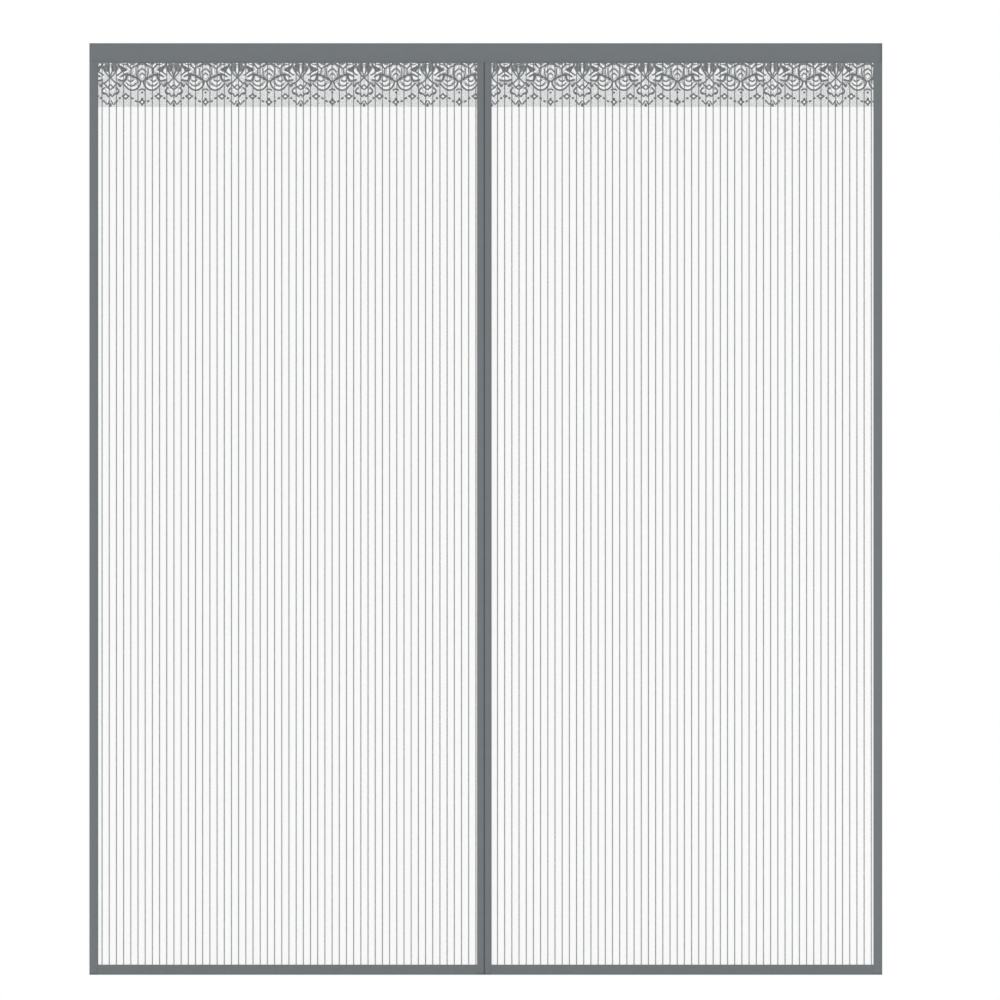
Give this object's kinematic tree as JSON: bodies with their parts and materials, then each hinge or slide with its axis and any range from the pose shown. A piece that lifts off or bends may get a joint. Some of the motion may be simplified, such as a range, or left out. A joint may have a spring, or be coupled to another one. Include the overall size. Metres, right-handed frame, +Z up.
{
  "type": "magnetic insect screen",
  "caption": "Split mesh insect screen for a door: folded border tapes, a lace trim under the header, and magnets that close the meeting edges.",
  "frame": {"origin": "middle of the header hook tape's adhesive back, which is the middle of the header's width and height on the face of the door frame", "axes": "+X to the right seen from the front, +Y from the screen's front towards the door frame, +Z up"},
  "size_m": [1.8, 0.0058, 2.115],
  "materials": {
    "border_tape": "woven matt grey polyester tape",
    "striped_net": "sheer pale polyester net with grey woven stripes",
    "lace": "pale grey machine lace with darker grey outline thread",
    "magnet": "pressed dark ferrite",
    "loop_tape": "brushed loop pile",
    "hook_tape": "moulded nylon hooks on a self-adhesive tape"
  },
  "bodies": {
    "root": {"header_band": "border_tape", "side_binding_left": "border_tape", "side_binding_right": "border_tape", "magnet_sleeve_left": "border_tape", "magnet_sleeve_right": "border_tape", "bottom_hem_left": "border_tape", "bottom_hem_right": "border_tape", "mesh_panel_left": "striped_net", "mesh_panel_right": "striped_net", "lace_trim_left": "lace", "lace_trim_right": "lace", "loop_tape_header": "loop_tape", "loop_tape_left": "loop_tape", "loop_tape_right": "loop_tape", "hook_tape_header": "hook_tape", "hook_tape_left": "hook_tape", "hook_tape_right": "hook_tape", "magnet_left_01": "magnet", "magnet_left_02": "magnet", "magnet_left_03": "magnet", "magnet_left_04": "magnet", "magnet_left_05": "magnet", "magnet_left_06": "magnet", "magnet_left_07": "magnet", "magnet_left_08": "magnet", "magnet_left_09": "magnet", "magnet_left_10": "magnet", "magnet_left_11": "magnet", "magnet_left_12": "magnet", "magnet_left_13": "magnet", "magnet_right_01": "magnet", "magnet_right_02": "magnet", "magnet_right_03": "magnet", "magnet_right_04": "magnet", "magnet_right_05": "magnet", "magnet_right_06": "magnet", "magnet_right_07": "magnet", "magnet_right_08": "magnet", "magnet_right_09": "magnet", "magnet_right_10": "magnet", "magnet_right_11": "magnet", "magnet_right_12": "magnet", "magnet_right_13": "magnet"}
  },
  "joints": []
}
